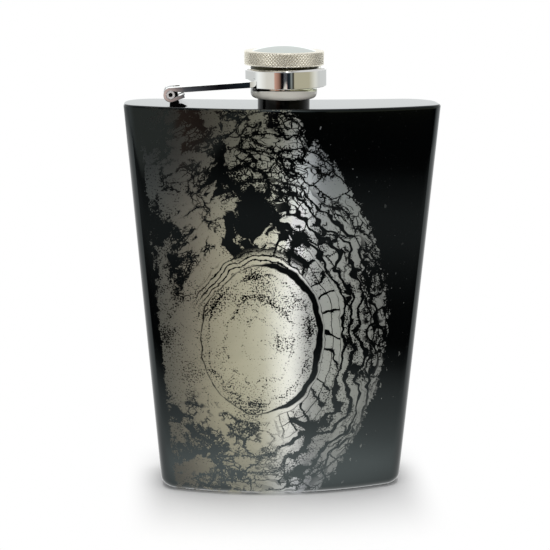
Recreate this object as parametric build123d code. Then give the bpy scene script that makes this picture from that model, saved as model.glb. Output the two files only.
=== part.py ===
from build123d import *

import math
import os

# Captive-top hip flask, in millimetres. The origin lies on the base, under the axis of the neck.
# +Z is up, +X is to the right seen from the front, and the convex front faces -Y.
# Heights named "above the plate" count from the outside of the top plate.

# Body
TOP_WIDTH = 96.6
BASE_WIDTH = 76.2
BODY_HEIGHT = 121.0
BODY_DEPTH = 27.0
FRONT_RADIUS = 105.0
BACK_RADIUS = 260.0
FRONT_CORNER_RADIUS = 6.0
BACK_CORNER_RADIUS = 9.0
WALL = 0.7
BASE_EDGE_RADIUS = 3.0
TOP_EDGE_RADIUS = 0.7
TRAY_HEIGHT = 4.0
PLATE_THICKNESS = 1.0
SEAM_BEAD_WIDTH = 1.4
SEAM_BEAD_DEPTH = 0.3

# How far the blocks that only cut or keep a region reach past the flask
SPARE = 5.0

# Neck
COLLAR_RADIUS = 7.85
COLLAR_HEIGHT = 2.3
NECK_HEIGHT = 8.6
NECK_CORE_RADIUS = 7.05
NECK_CREST_RADIUS = 7.5
NECK_BORE_RADIUS = 6.0
NECK_SPIGOT_RADIUS = 7.3
NECK_SPIGOT_REACH = 1.2
NECK_RIM_RADIUS = 0.3
WELD_GAP = 0.04

# Screw thread. The cap's crests stand clear of the neck's, so the cap can swing from any turn.
THREAD_LEAD = 2.0
THREAD_ROOT_WIDTH = 1.1
THREAD_CREST_WIDTH = 0.5
THREAD_OVERLAP = 0.1

# Hinge
PIVOT_X = -34.0
PIVOT_HEIGHT = 3.3
PIN_RADIUS = 1.0
PIN_BORE_RADIUS = 0.6
PIN_BORE_DEPTH = 1.6
PIN_FLARE_RADIUS = 1.35
PIN_FLARE_THICKNESS = 0.3
HINGE_CLEARANCE = 0.05
KNUCKLE_RADIUS = 2.15
ARM_WIDTH = 10.0
BRACKET_KNUCKLE_WIDTH = 4.0
KNUCKLE_SIDE_GAP = 0.1
FOOT_THICKNESS = 0.8
FOOT_WIDTH = 9.0
FOOT_LEFT = -0.3
FOOT_RIGHT = 5.0
LEG_LEFT = 0.1
LEG_RIGHT = 2.6
LEG_TANGENT = math.radians(30)

# Arm
ARM_RISE_AT_RING = 1.75
ARM_THICKNESS_AT_RING = 1.8
ARM_NOTCH_REACH = 2.7
ARM_BELLY_REACH = 3.2
ARM_BELLY_HEIGHT = 0.75
CURL_END_ANGLE = -70.0
CURL_TAIL_LENGTH = 3.7

# Ring on the arm
RING_RADIUS = 12.15
RING_BORE_RADIUS = 10.7
RING_BOTTOM = 5.65
RING_TOP = 11.15
RING_BEVEL = 0.55
RING_RIB_RADIUS = 9.55
RING_RIB_BOTTOM = 9.2
RING_RIB_TOP = 10.4
RING_SHIFT = 0.55
RING_TILT = 1.1

# Cap
HEAD_RADIUS = 11.95
HEAD_BOTTOM = 12.0
HEAD_TOP = 16.1
HEAD_EDGE = 0.15
HEAD_BORE_RADIUS = 8.72
CROWN_SEAT_RADIUS = 9.6
CROWN_SEAT_HEIGHT = 15.1
CROWN_RADIUS = 9.55
CROWN_APEX = 17.65
STEM_RADIUS = 10.0
STEM_BOTTOM = 2.05
STEM_EDGE_RADIUS = 1.5
GROOVE_RADIUS = 8.85
GROOVE_BOTTOM = 4.9
GROOVE_TOP = 10.7
STEM_BOSS_RADIUS = 8.7
STEM_ROOT_RADIUS = 8.35
STEM_CREST_RADIUS = 7.9
STEM_THREAD_BOTTOM = 2.9
STEM_THREAD_TOP = 7.9
CEILING_HEIGHT = 10.15
CEILING_THICKNESS = 1.2
STEM_HOLLOW_RADIUS = 7.5
GASKET_RADIUS = 8.28
GASKET_BOTTOM = 8.62
GASKET_TOP = 10.1


def section(height, inset):
    """Kidney-shaped outline of the body at a height, drawn in by inset all round."""
    half_width = (BASE_WIDTH + (TOP_WIDTH - BASE_WIDTH) * height / BODY_HEIGHT) / 2 - inset
    front_radius = FRONT_RADIUS - inset
    back_radius = BACK_RADIUS + inset
    front_mid = -BODY_DEPTH / 2 + inset
    back_mid = BODY_DEPTH / 2 - inset
    front_end = front_mid + front_radius - math.sqrt(front_radius**2 - half_width**2)
    back_end = back_mid + back_radius - math.sqrt(back_radius**2 - half_width**2)
    front = ThreePointArc((-half_width, front_end), (0, front_mid), (half_width, front_end))
    right = Line((half_width, front_end), (half_width, back_end))
    back = ThreePointArc((half_width, back_end), (0, back_mid), (-half_width, back_end))
    left = Line((-half_width, back_end), (-half_width, front_end))
    outline = make_face(Curve() + [front, right, back, left])
    corners = outline.vertices().sort_by(Axis.Y)
    outline = fillet(corners[:2], FRONT_CORNER_RADIUS - inset)
    corners = outline.vertices().sort_by(Axis.Y)
    outline = fillet(corners[-2:], BACK_CORNER_RADIUS - inset)
    return Pos(0, 0, height) * outline


def tapered(bottom, top, inset):
    """Straight-sided solid between the outlines at two heights."""
    return loft([section(bottom, inset), section(top, inset)], ruled=True)


def edges_at(solid, height):
    """The edges of a solid that lie flat at one height."""
    level = 0.01
    return solid.edges().filter_by_position(Axis.Z, height - level, height + level)


def slab(bottom, top):
    """Everything between two heights, wider than the flask."""
    span = TOP_WIDTH + 2 * SPARE
    return Pos(0, 0, (bottom + top) / 2) * Box(span, span, top - bottom)


def body_form():
    """Outside of the body with its rounded base and top edges."""
    form = tapered(0, BODY_HEIGHT, 0)
    form = fillet(edges_at(form, 0), BASE_EDGE_RADIUS)
    return fillet(edges_at(form, BODY_HEIGHT), TOP_EDGE_RADIUS)


def body_hollow():
    """Inside of the body, down to the floor of the tray and up to the top plate."""
    hollow = tapered(WALL, BODY_HEIGHT - PLATE_THICKNESS, WALL)
    return fillet(edges_at(hollow, WALL), BASE_EDGE_RADIUS - WALL)


def body_wall():
    """Wrapped sheet between the tray and the top plate, with the bead of its back seam inside."""
    top = BODY_HEIGHT - PLATE_THICKNESS
    wall = (body_form() - body_hollow()) & slab(TRAY_HEIGHT, top)
    bead_depth = SEAM_BEAD_DEPTH + WALL / 2
    bead_middle = BODY_DEPTH / 2 - WALL - SEAM_BEAD_DEPTH + bead_depth / 2
    bead = Box(SEAM_BEAD_WIDTH, bead_depth, top - TRAY_HEIGHT)
    return wall + Pos(0, bead_middle, (top + TRAY_HEIGHT) / 2) * bead


def base_tray():
    """Pressed base with its rounded rim turned up to meet the wall."""
    return (body_form() & slab(-SPARE, TRAY_HEIGHT)) - body_hollow()


def top_plate():
    """Pressed top, with the hole for the neck's spigot."""
    plate = body_form() & slab(BODY_HEIGHT - PLATE_THICKNESS, BODY_HEIGHT + SPARE)
    hole = Pos(0, 0, BODY_HEIGHT) * Cylinder(NECK_SPIGOT_RADIUS + WELD_GAP, 2 * SPARE)
    return plate - hole


def turned(*outline):
    """Solid of revolution about Z from (radius, height above the plate) points."""
    profile = Plane.XZ * make_face(Polyline(*outline, close=True))
    return Pos(0, 0, BODY_HEIGHT) * revolve(profile, Axis.Z)


def thread(root_radius, crest_radius, bottom, top):
    """Helical ridge from root to crest between two heights above the plate."""
    path = Helix(THREAD_LEAD, top - bottom, root_radius)
    inward = math.copysign(THREAD_OVERLAP, root_radius - crest_radius)
    start = Plane(origin=path @ 0, x_dir=(1, 0, 0), z_dir=path % 0)
    reach = crest_radius - root_radius
    ridge = Polyline(
        (inward, -THREAD_ROOT_WIDTH / 2),
        (reach, -THREAD_CREST_WIDTH / 2),
        (reach, THREAD_CREST_WIDTH / 2),
        (inward, THREAD_ROOT_WIDTH / 2),
        close=True,
    )
    solid = sweep(start * make_face(ridge), path=path, is_frenet=True)
    return Pos(0, 0, BODY_HEIGHT + bottom) * solid


def neck():
    """Turned spout: spigot, collar, threaded barrel and a softened rim round the mouth."""
    barrel = turned(
        (NECK_BORE_RADIUS, -PLATE_THICKNESS - NECK_SPIGOT_REACH),
        (NECK_SPIGOT_RADIUS, -PLATE_THICKNESS - NECK_SPIGOT_REACH),
        (NECK_SPIGOT_RADIUS, 0),
        (COLLAR_RADIUS, 0),
        (COLLAR_RADIUS, COLLAR_HEIGHT),
        (NECK_CORE_RADIUS, COLLAR_HEIGHT),
        (NECK_CORE_RADIUS, NECK_HEIGHT),
        (NECK_BORE_RADIUS, NECK_HEIGHT),
    )
    barrel = fillet(edges_at(barrel, BODY_HEIGHT + NECK_HEIGHT), NECK_RIM_RADIUS)
    first_turn = COLLAR_HEIGHT + THREAD_ROOT_WIDTH
    last_turn = NECK_HEIGHT - THREAD_ROOT_WIDTH
    return barrel + thread(NECK_CORE_RADIUS, NECK_CREST_RADIUS, first_turn, last_turn)


def along_hinge(profile, low, high):
    """Extrude a side profile, drawn about the pivot, between two depths."""
    pivot = Pos(PIVOT_X, 0, BODY_HEIGHT + PIVOT_HEIGHT)
    side = Plane(origin=(0, high, 0), x_dir=(1, 0, 0), z_dir=(0, -1, 0))
    return pivot * extrude(side * profile, high - low)


def hinge_bracket():
    """Welded foot with a leg that rises to the middle knuckle."""
    foot_top = FOOT_THICKNESS - PIVOT_HEIGHT
    foot_middle = FOOT_THICKNESS / 2 - PIVOT_HEIGHT
    foot = make_face(
        Polyline(
            (FOOT_LEFT, -PIVOT_HEIGHT),
            (FOOT_RIGHT, -PIVOT_HEIGHT),
            (FOOT_RIGHT - 2 * FOOT_THICKNESS, foot_top),
            (FOOT_LEFT, foot_top),
            close=True,
        )
    )
    leg = make_face(
        Polyline(
            (-LEG_LEFT, foot_middle),
            (LEG_RIGHT, foot_middle),
            (LEG_RIGHT, foot_top),
            (KNUCKLE_RADIUS * math.cos(LEG_TANGENT), -KNUCKLE_RADIUS * math.sin(LEG_TANGENT)),
            (0, 0),
            (-LEG_LEFT, foot_top),
            close=True,
        )
    )
    half_foot = FOOT_WIDTH / 2
    half_knuckle = BRACKET_KNUCKLE_WIDTH / 2
    upright = Circle(KNUCKLE_RADIUS) + leg - Circle(PIN_RADIUS)
    return along_hinge(foot, -half_foot, half_foot) + along_hinge(upright, -half_knuckle, half_knuckle)


def hinge_pin():
    """Semi-tubular rivet through the three knuckles, recessed and flared over at both ends."""
    half_length = ARM_WIDTH / 2 + HINGE_CLEARANCE
    end = half_length + PIN_FLARE_THICKNESS
    pin = along_hinge(Circle(PIN_RADIUS), -half_length, half_length)
    pin += along_hinge(Circle(PIN_FLARE_RADIUS), half_length, end)
    pin += along_hinge(Circle(PIN_FLARE_RADIUS), -end, -half_length)
    pin -= along_hinge(Circle(PIN_BORE_RADIUS), end - PIN_BORE_DEPTH, end)
    pin -= along_hinge(Circle(PIN_BORE_RADIUS), -end, PIN_BORE_DEPTH - end)
    return pin


def ring_place():
    """Where the ring's frame sits: pushed along the arm and tilted up with it, about its rib."""
    rib_middle = (RING_RIB_BOTTOM + RING_RIB_TOP) / 2
    return Pos(RING_SHIFT, 0, rib_middle) * Rot(0, -RING_TILT, 0) * Pos(0, 0, -rib_middle)


def cap_ring():
    """Swivel collar round the stem of the cap, kept on it by the inward rib."""
    profile = make_face(
        Polyline(
            (RING_BORE_RADIUS, RING_BOTTOM),
            (RING_RADIUS, RING_BOTTOM),
            (RING_RADIUS, RING_TOP - RING_BEVEL),
            (RING_RADIUS - RING_BEVEL, RING_TOP),
            (RING_BORE_RADIUS, RING_TOP),
            (RING_BORE_RADIUS, RING_RIB_TOP),
            (RING_RIB_RADIUS, RING_RIB_TOP),
            (RING_RIB_RADIUS, RING_RIB_BOTTOM),
            (RING_BORE_RADIUS, RING_RIB_BOTTOM),
            close=True,
        )
    )
    ring = revolve(Plane.XZ * profile, Axis.Z)
    return Pos(0, 0, BODY_HEIGHT) * ring_place() * ring


def arm_curl():
    """Side profile of one rolled knuckle and its tail, drawn about the pivot."""
    thickness = KNUCKLE_RADIUS - PIN_RADIUS - HINGE_CLEARANCE
    middle_radius = KNUCKLE_RADIUS - thickness / 2
    tube = Circle(KNUCKLE_RADIUS) - Circle(PIN_RADIUS + HINGE_CLEARANCE)
    reach = 2 * KNUCKLE_RADIUS
    end = math.radians(CURL_END_ANGLE)
    mouth = make_face(
        Polyline(
            (0, 0),
            (reach * math.cos(end), reach * math.sin(end)),
            (reach, -reach),
            (reach, reach),
            (0, reach),
            close=True,
        )
    )
    tail = Pos(CURL_TAIL_LENGTH / 2, 0) * Rectangle(CURL_TAIL_LENGTH, thickness)
    tail_start = Pos(middle_radius * math.cos(end), middle_radius * math.sin(end))
    return (tube - mouth) + tail_start * Rot(0, 0, CURL_END_ANGLE + 90) * tail


def cap_arm():
    """Arm from the two rolled knuckles to the ring, notched round the bracket's knuckle."""
    reach = -PIVOT_X - RING_RADIUS / 2
    ring_wall = -PIVOT_X - RING_RADIUS + RING_SHIFT
    inner = PIN_RADIUS + HINGE_CLEARANCE
    top_slope = ARM_RISE_AT_RING / ring_wall
    bottom_at_ring = KNUCKLE_RADIUS + ARM_RISE_AT_RING - ARM_THICKNESS_AT_RING
    bottom_slope = (bottom_at_ring - ARM_BELLY_HEIGHT) / (ring_wall - ARM_BELLY_REACH)
    strip = make_face(
        Polyline(
            (0, inner),
            (PIN_RADIUS, inner),
            (ARM_BELLY_REACH, ARM_BELLY_HEIGHT),
            (reach, ARM_BELLY_HEIGHT + (reach - ARM_BELLY_REACH) * bottom_slope),
            (reach, KNUCKLE_RADIUS + reach * top_slope),
            (0, KNUCKLE_RADIUS),
            close=True,
        )
    )
    half_width = ARM_WIDTH / 2
    half_notch = BRACKET_KNUCKLE_WIDTH / 2 + KNUCKLE_SIDE_GAP
    notch_height = 2 * (KNUCKLE_RADIUS + SPARE)
    notch = Pos(ARM_NOTCH_REACH / 2 - KNUCKLE_RADIUS, 0) * Rectangle(
        ARM_NOTCH_REACH + 2 * KNUCKLE_RADIUS, notch_height
    )
    arm = along_hinge(strip + arm_curl(), -half_width, half_width)
    arm -= along_hinge(notch, -half_notch, half_notch)
    gap_length = CURL_TAIL_LENGTH + SPARE
    tail_gap = Pos(gap_length / 2, -KNUCKLE_RADIUS / 2) * Rectangle(gap_length, KNUCKLE_RADIUS)
    arm -= along_hinge(tail_gap, -half_notch, half_notch)
    envelope_height = 2 * (RING_TOP + SPARE)
    envelope = Pos(0, 0, BODY_HEIGHT) * ring_place() * Cylinder(RING_RADIUS, envelope_height)
    return arm - envelope


def cap_head():
    """Grip of the cap, bored for the stem's boss and seated for the crown."""
    return turned(
        (HEAD_BORE_RADIUS, HEAD_BOTTOM),
        (HEAD_RADIUS - HEAD_EDGE, HEAD_BOTTOM),
        (HEAD_RADIUS, HEAD_BOTTOM + HEAD_EDGE),
        (HEAD_RADIUS, HEAD_TOP - HEAD_EDGE),
        (HEAD_RADIUS - HEAD_EDGE, HEAD_TOP),
        (CROWN_SEAT_RADIUS, HEAD_TOP),
        (CROWN_SEAT_RADIUS, CROWN_SEAT_HEIGHT),
        (HEAD_BORE_RADIUS, CROWN_SEAT_HEIGHT),
    )


def cap_crown():
    """Domed disc: a spherical cap over a short straight edge."""
    rise = CROWN_APEX - HEAD_TOP
    dome_radius = (CROWN_RADIUS**2 + rise**2) / (2 * rise)
    half_angle = math.asin(CROWN_RADIUS / dome_radius) / 2
    on_dome = (
        dome_radius * math.sin(half_angle),
        CROWN_APEX - dome_radius * (1 - math.cos(half_angle)),
    )
    outline = [
        Line((0, CROWN_SEAT_HEIGHT), (CROWN_RADIUS, CROWN_SEAT_HEIGHT)),
        Line((CROWN_RADIUS, CROWN_SEAT_HEIGHT), (CROWN_RADIUS, HEAD_TOP)),
        ThreePointArc((CROWN_RADIUS, HEAD_TOP), on_dome, (0, CROWN_APEX)),
        Line((0, CROWN_APEX), (0, CROWN_SEAT_HEIGHT)),
    ]
    disc = revolve(Plane.XZ * make_face(Curve() + outline), Axis.Z)
    return Pos(0, 0, BODY_HEIGHT) * disc


def cap_sleeve():
    """Stem of the cap: bottom flange, groove for the ring's rib, boss, inside thread."""
    boss_top = CROWN_SEAT_HEIGHT - WELD_GAP
    stem = turned(
        (STEM_ROOT_RADIUS, STEM_BOTTOM),
        (STEM_RADIUS, STEM_BOTTOM),
        (STEM_RADIUS, GROOVE_BOTTOM),
        (GROOVE_RADIUS, GROOVE_BOTTOM),
        (GROOVE_RADIUS, GROOVE_TOP),
        (STEM_RADIUS, GROOVE_TOP),
        (STEM_RADIUS, HEAD_BOTTOM),
        (STEM_BOSS_RADIUS, HEAD_BOTTOM),
        (STEM_BOSS_RADIUS, boss_top),
        (STEM_HOLLOW_RADIUS, boss_top),
        (STEM_HOLLOW_RADIUS, CEILING_HEIGHT + CEILING_THICKNESS),
        (0, CEILING_HEIGHT + CEILING_THICKNESS),
        (0, CEILING_HEIGHT),
        (STEM_ROOT_RADIUS, CEILING_HEIGHT),
    )
    rim = edges_at(stem, BODY_HEIGHT + STEM_BOTTOM).sort_by(SortBy.RADIUS)[-1]
    stem = fillet(rim, STEM_EDGE_RADIUS)
    return stem + thread(STEM_ROOT_RADIUS, STEM_CREST_RADIUS, STEM_THREAD_BOTTOM, STEM_THREAD_TOP)


def cap_gasket():
    """Sealing disc held above the inside thread, just clear of the neck's rim."""
    return turned(
        (0, GASKET_BOTTOM),
        (GASKET_RADIUS, GASKET_BOTTOM),
        (GASKET_RADIUS, GASKET_TOP),
        (0, GASKET_TOP),
    )


PIECES = {
    "body_wall": body_wall,
    "base_tray": base_tray,
    "top_plate": top_plate,
    "neck": neck,
    "hinge_bracket": hinge_bracket,
    "hinge_pin": hinge_pin,
    "cap_arm": cap_arm,
    "cap_ring": cap_ring,
    "cap_head": cap_head,
    "cap_crown": cap_crown,
    "cap_sleeve": cap_sleeve,
    "cap_gasket": cap_gasket,
}

os.makedirs("parts", exist_ok=True)
for name, make_piece in PIECES.items():
    export_step(make_piece(), f"parts/{name}.step")
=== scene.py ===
import math

import bmesh
import bpy
import numpy as np
from mathutils import Matrix, Vector


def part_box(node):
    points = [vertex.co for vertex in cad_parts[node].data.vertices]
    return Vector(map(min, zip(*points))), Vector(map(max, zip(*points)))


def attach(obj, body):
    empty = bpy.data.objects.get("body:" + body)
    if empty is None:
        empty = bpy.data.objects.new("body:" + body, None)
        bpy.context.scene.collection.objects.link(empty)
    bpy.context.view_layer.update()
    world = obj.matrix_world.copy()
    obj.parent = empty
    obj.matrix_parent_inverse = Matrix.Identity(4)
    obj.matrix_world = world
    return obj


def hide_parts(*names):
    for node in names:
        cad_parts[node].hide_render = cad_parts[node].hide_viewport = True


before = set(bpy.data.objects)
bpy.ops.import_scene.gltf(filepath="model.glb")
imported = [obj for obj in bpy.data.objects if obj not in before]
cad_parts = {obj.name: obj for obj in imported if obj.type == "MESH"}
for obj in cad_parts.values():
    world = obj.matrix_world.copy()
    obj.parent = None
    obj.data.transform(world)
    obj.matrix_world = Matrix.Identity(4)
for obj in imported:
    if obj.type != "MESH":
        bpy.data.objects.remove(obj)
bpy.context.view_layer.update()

# Captive-top hip flask in metres, in the frame of the CAD model: +Z up, front facing -Y,
# origin on the base under the neck. Lengths below are in millimetres and become metres in mm().


def mm(value):
    """Millimetres to metres."""
    return value * 0.001


def height_of(node, end):
    """Bottom (0) or top (1) of a CAD node in millimetres."""
    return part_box(node)[end][2] * 1000


# Body section, as in the CAD model
TOP_WIDTH = 96.6
BASE_WIDTH = 76.2
BODY_DEPTH = 27.0
FRONT_RADIUS = 105.0
BACK_RADIUS = 260.0
FRONT_CORNER_RADIUS = 6.0
BACK_CORNER_RADIUS = 9.0
WALL = 0.7
BASE_EDGE_RADIUS = 3.0
TOP_EDGE_RADIUS = 0.7
PLATE = height_of("top_plate", 1)
PLATE_UNDERSIDE = height_of("top_plate", 0)
TRAY_TOP = height_of("base_tray", 1)
PLATE_HOLE_RADIUS = 7.34
FRONT_STEPS = 110
BACK_STEPS = 60
CORNER_STEPS = 22

# Cap, heights above the plate
HEAD_BOTTOM = height_of("cap_head", 0) - PLATE
HEAD_TOP = height_of("cap_head", 1) - PLATE
HEAD_RADIUS = 11.95
HEAD_BORE_RADIUS = 8.72
HEAD_CHAMFER = 0.2
# The grip's rounded rims, as steps in from its radius and in from its bottom or top
LOWER_RIM = [(0.2, 0.0), (0.08, 0.03), (0.03, 0.09), (0.02, 0.18)]
UPPER_RIM = [(0.03, 0.14), (0.1, 0.06), (0.2, 0.015), (0.32, 0.0)]
SEAT_CHAMFER = 0.1
CROWN_SEAT_RADIUS = 9.6
CROWN_SEAT = height_of("cap_crown", 0) - PLATE
CROWN_APEX = height_of("cap_crown", 1) - PLATE
CROWN_RADIUS = 9.55
CROWN_EDGE_DROP = 0.06
CROWN_DOME_SHARE = 0.985
STEM_BOTTOM = height_of("cap_sleeve", 0) - PLATE
STEM_TOP = height_of("cap_sleeve", 1) - PLATE
STEM_RADIUS = 10.0
STEM_EDGE_RADIUS = 1.5
GROOVE_RADIUS = 8.85
GROOVE_BOTTOM = 4.9
GROOVE_TOP = 10.7
STEM_BOSS_RADIUS = 8.7
STEM_ROOT_RADIUS = 8.35
STEM_CREST_RADIUS = 7.9
STEM_THREAD_BOTTOM = 2.9
STEM_THREAD_TOP = 7.9
STEM_HOLLOW_RADIUS = 7.5
CEILING = 10.15
CEILING_THICKNESS = 1.2
THREAD_LEAD = 2.0
THREAD_ROOT_WIDTH = 1.1
THREAD_CREST_WIDTH = 0.5
THREAD_SINK = 0.1
THREAD_STEPS = 72
RUN_OUT_STEPS = 12
RING_RADIUS = 12.15
RING_BORE_RADIUS = 10.7
RING_BOTTOM = 5.65
RING_TOP = 11.15
RING_BEVEL = 0.55
RING_RIB_RADIUS = 9.55
RING_RIB_BOTTOM = 9.2
RING_RIB_TOP = 10.4
RING_SHIFT = 0.55
RING_TILT = math.radians(1.1)
EDGE = 0.12
SMALLEST_TURN = math.radians(12)
BESIDE_ROUND = 1.2
LATHE_STEPS = 192

# Knurl of the cap's grip
KNURL_COUNT = 72
KNURL_PITCH_UP = 1.06
KNURL_DEPTH = 0.2
KNURL_FLAT = 0.72
KNURL_MARGIN = 0.24
KNURL_SAMPLES = 4

# Hinge and arm, drawn about the pivot
PIVOT_X = -34.0
PIVOT_HEIGHT = 3.3
PIN_RADIUS = 1.0
PIN_BORE_RADIUS = 0.6
PIN_BORE_DEPTH = 1.6
PIN_FLARE_RADIUS = 1.35
PIN_FLARE_THICKNESS = 0.3
HINGE_CLEARANCE = 0.05
KNUCKLE_RADIUS = 2.15
ARM_WIDTH = 10.0
HALF_NOTCH = 2.1
ARM_NOTCH_REACH = 2.7
ARM_BELLY_REACH = 3.2
ARM_BELLY_HEIGHT = 0.75
ARM_RISE_AT_RING = 1.75
ARM_THICKNESS_AT_RING = 1.8
CURL_END_ANGLE = -70.0
CURL_TAIL_LENGTH = 3.7
ARM_EDGE = 0.09


# ---- meshes


def mesh_of(name, verts, faces, material):
    """A mesh from millimetre points, with its material."""
    mesh = bpy.data.meshes.new(name)
    mesh.from_pydata([tuple(mm(c) for c in v) for v in verts], [], faces)
    mesh.materials.append(material)
    return mesh


def placed(name, data):
    """A scene object for a mesh, lamp or camera."""
    made = bpy.data.objects.new(name, data)
    bpy.context.scene.collection.objects.link(made)
    return made


def make_object(name, verts, faces, body, slot_name, node, material, sharp_angle=34.0):
    """A smooth closed mesh that rides on a body in place of a CAD node."""
    mesh = mesh_of(name, verts, faces, material)
    work = bmesh.new()
    work.from_mesh(mesh)
    bmesh.ops.remove_doubles(work, verts=work.verts, dist=mm(0.0005))
    bmesh.ops.recalc_face_normals(work, faces=work.faces)
    work.to_mesh(mesh)
    work.free()
    mesh.shade_smooth()
    mesh.set_sharp_from_angle(angle=math.radians(sharp_angle))
    piece = placed(name, mesh)
    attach(piece, body)
    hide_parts(node)
    return piece


def stack(rings, joined=False):
    """Quads between rings of equal count. A ring of one point closes the end as a fan."""
    verts = []
    starts = []
    for ring in rings:
        starts.append(len(verts))
        verts.extend(ring)
    pairs = [(i, i + 1) for i in range(len(rings) - 1)]
    if joined:
        pairs.append((len(rings) - 1, 0))
    faces = []
    for low, high in pairs:
        a = starts[low]
        b = starts[high]
        count = max(len(rings[low]), len(rings[high]))
        for i in range(count):
            j = (i + 1) % count
            if len(rings[low]) == 1:
                faces.append((a, b + j, b + i))
            elif len(rings[high]) == 1:
                faces.append((a + i, a + j, b))
            else:
                faces.append((a + i, a + j, b + j, b + i))
    return verts, faces


def merged(*parts):
    """Several (verts, faces) as one."""
    verts = []
    faces = []
    for part_verts, part_faces in parts:
        base = len(verts)
        verts.extend(part_verts)
        faces.extend(tuple(base + i for i in face) for face in part_faces)
    return verts, faces


def moved(part, matrix):
    """(verts, faces) taken through a matrix."""
    verts, faces = part
    return [tuple(matrix @ Vector(v)) for v in verts], faces


def arc(centre, radius, start, end, steps):
    """Points of a circular arc, angles in degrees."""
    angles = np.radians(np.linspace(start, end, steps))
    return [(centre[0] + radius * math.cos(a), centre[1] + radius * math.sin(a)) for a in angles]


def softened(profile, radius, keep=()):
    """A closed profile with its corners rounded and held by a point just beside each round."""
    result = []
    for i, point in enumerate(profile):
        corner = np.array(point, float)
        before = np.array(profile[i - 1], float) - corner
        after = np.array(profile[(i + 1) % len(profile)], float) - corner
        limit = 0.4 * min(np.linalg.norm(before), np.linalg.norm(after))
        before /= np.linalg.norm(before)
        after /= np.linalg.norm(after)
        turn = math.pi - math.acos(np.clip(np.dot(before, after), -1, 1))
        if i in keep or turn < SMALLEST_TURN:
            result.append(tuple(corner))
            continue
        reach = min(radius * math.tan(turn / 2), limit)
        rounding = reach / math.tan(turn / 2)
        inward = (before + after) / np.linalg.norm(before + after)
        centre = corner + inward * (rounding / math.cos(turn / 2))
        result.append(tuple(corner + before * reach * BESIDE_ROUND))
        for t in np.linspace(0, 1, 5):
            chord = corner + (before * (1 - t) + after * t) * reach - centre
            result.append(tuple(centre + chord / np.linalg.norm(chord) * rounding))
        result.append(tuple(corner + after * reach * BESIDE_ROUND))
    return result


def circle(radius, height, steps=LATHE_STEPS):
    """A ring of points about Z, or one point on the axis."""
    if radius < 1e-6:
        return [(0.0, 0.0, height)]
    angles = np.linspace(0, 2 * math.pi, steps, endpoint=False)
    return [(radius * math.cos(a), radius * math.sin(a), height) for a in angles]


def turned(profile, closed=True, steps=LATHE_STEPS):
    """Solid of revolution about Z from (radius, height) points."""
    return stack([circle(r, z, steps) for r, z in profile], joined=closed)


def ridge(root_radius, crest_radius, bottom, top):
    """Helical thread ridge, sunk a little into its wall, whose ends run out to nothing."""
    turns = (top - bottom) / THREAD_LEAD
    steps = int(turns * THREAD_STEPS)
    sink = math.copysign(THREAD_SINK, root_radius - crest_radius)
    rings = []
    for i in range(steps + 1):
        t = i / steps
        angle = 2 * math.pi * turns * t
        middle = bottom + (top - bottom) * t
        run_out = min(1.0, t * steps / RUN_OUT_STEPS, (1 - t) * steps / RUN_OUT_STEPS)
        reach = sink + (crest_radius - root_radius - sink) * max(run_out, 0.02)
        outline = [
            (sink, -THREAD_ROOT_WIDTH / 2), (reach, -THREAD_CREST_WIDTH / 2),
            (reach, THREAD_CREST_WIDTH / 2), (sink, THREAD_ROOT_WIDTH / 2),
        ]
        rings.append([
            ((root_radius + r) * math.cos(angle), (root_radius + r) * math.sin(angle), middle + z)
            for r, z in outline
        ])
    verts, faces = stack(rings)
    last = len(verts)
    faces.append((0, 1, 2, 3))
    faces.append((last - 1, last - 2, last - 3, last - 4))
    return verts, faces


def section(height, inset):
    """Kidney outline of the body at a height, drawn in by inset, as points from front middle round."""
    half = (BASE_WIDTH + (TOP_WIDTH - BASE_WIDTH) * height / PLATE) / 2 - inset
    front_radius = FRONT_RADIUS - inset
    back_radius = BACK_RADIUS + inset
    front_centre = -BODY_DEPTH / 2 + inset + front_radius
    back_centre = BODY_DEPTH / 2 - inset + back_radius
    front_corner = FRONT_CORNER_RADIUS - inset
    back_corner = BACK_CORNER_RADIUS - inset
    corner_x = half - front_corner
    corner_y = front_centre - math.sqrt((front_radius - front_corner) ** 2 - corner_x**2)
    shoulder_x = half - back_corner
    shoulder_y = back_centre - math.sqrt((back_radius + back_corner) ** 2 - shoulder_x**2)
    front_turn = math.degrees(math.atan2(corner_x, front_centre - corner_y))
    back_turn = math.degrees(math.atan2(shoulder_x, back_centre - shoulder_y))
    half_outline = []
    half_outline += arc((0, front_centre), front_radius, -90, front_turn - 90, FRONT_STEPS)
    half_outline += arc((corner_x, corner_y), front_corner, front_turn - 90, 0, CORNER_STEPS)[1:]
    half_outline += arc((shoulder_x, shoulder_y), back_corner, 0, 90 + back_turn, CORNER_STEPS)
    half_outline += arc((0, back_centre), back_radius, back_turn - 90, -90, BACK_STEPS)[1:]
    mirrored = [(-x, y) for x, y in half_outline[-2:0:-1]]
    return [(x, y, height) for x, y in half_outline + mirrored]


def shrunk(ring, share, height):
    """A ring drawn towards the axis, for flat faces."""
    return [(x * share, y * share, height) for x, y, _ in ring]


def rolled_edge(height, radius, inset, way, steps):
    """Outlines round a quarter edge from the wall to the flat, up (1) or down (-1)."""
    angles = np.radians(np.linspace(0, 90, steps))[1:]
    return [section(height + way * radius * math.sin(a), inset + radius * (1 - math.cos(a))) for a in angles]


def wall_mesh():
    """The wrapped sheet between tray and top plate."""
    heights = np.linspace(TRAY_TOP, PLATE_UNDERSIDE, 40)
    outside = [section(h, 0) for h in heights]
    inside = [section(h, WALL) for h in heights[::-1]]
    return stack(outside + inside, joined=True)


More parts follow.
